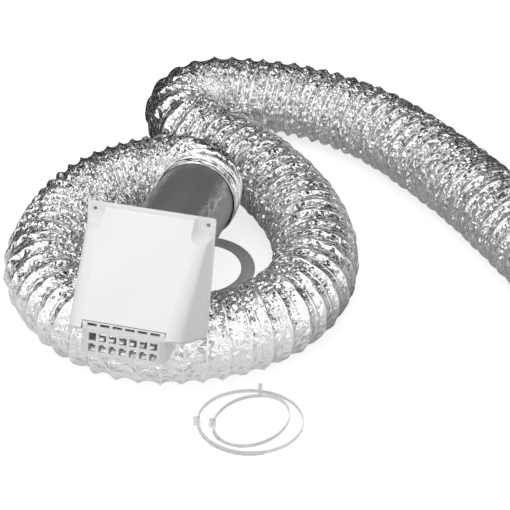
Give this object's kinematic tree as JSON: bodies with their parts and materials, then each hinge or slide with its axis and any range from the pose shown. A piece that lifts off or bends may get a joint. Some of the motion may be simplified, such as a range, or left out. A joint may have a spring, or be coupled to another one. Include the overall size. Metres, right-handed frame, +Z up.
{
  "type": "flexible air duct",
  "caption": "Ribbed foil vent duct lying in a loop, with a wall hood on its tailpipe, a hinged damper, a bird guard, a wall ring and nylon ties.",
  "frame": {"origin": "on the floor, under the middle of the kit's outline", "axes": "+X to the right as pictured, along the kit's longest side; +Y away from the viewer; +Z up"},
  "size_m": [0.914, 0.863, 0.2506],
  "materials": {
    "foil": "crinkled bright foil",
    "white_plastic": "satin",
    "grey_aluminium": "dull rolled sheet",
    "ring_metal": "dull rolled sheet",
    "nylon": "natural nylon"
  },
  "bodies": {
    "duct": {"duct_loop": "foil", "duct_flex": "foil"},
    "tail": {"duct_tail": "foil"},
    "hood": {"hood": "white_plastic", "tail_pipe": "grey_aluminium"},
    "damper": {"damper": "white_plastic"},
    "guard": {"guard": "white_plastic"},
    "wall_ring": {"wall_ring": "ring_metal"},
    "tie_large": {"tie_large": "nylon"},
    "tie_small": {"tie_small": "nylon"}
  },
  "joints": [
    {"name": "tail_flex", "type": "hinge", "parent": "duct", "child": "tail", "pos_m": [0.06514, 0.25882, 0.05359], "axis": [0, 0, 1], "range_deg": [-10, 25], "deforming": ["duct_flex"]},
    {"name": "hood_pull", "type": "slide", "parent": "duct", "child": "hood", "axis": [-0.1928, -0.9478, 0.2538], "range_m": [0, 0.09]},
    {"name": "damper_swing", "type": "hinge", "parent": "hood", "child": "damper", "pos_m": [-0.254, -0.20317, 0.22682], "axis": [-0.9776, 0.2079, 0.0338], "range_deg": [0, 40]},
    {"name": "guard_pull", "type": "slide", "parent": "hood", "child": "guard", "axis": [-0.1928, -0.9478, 0.2538], "range_m": [0, 0.1]},
    {"name": "ring_lift", "type": "slide", "parent": "duct", "child": "wall_ring", "axis": [0, 0, 1], "range_m": [0, 0.03]},
    {"name": "tie_large_drag", "type": "slide", "parent": "duct", "child": "tie_large", "axis": [0, -1, 0], "range_m": [0, 0.15]},
    {"name": "tie_small_lift", "type": "slide", "parent": "tie_large", "child": "tie_small", "axis": [0, -0.2873, 0.9578], "range_m": [0, 0.06]}
  ]
}
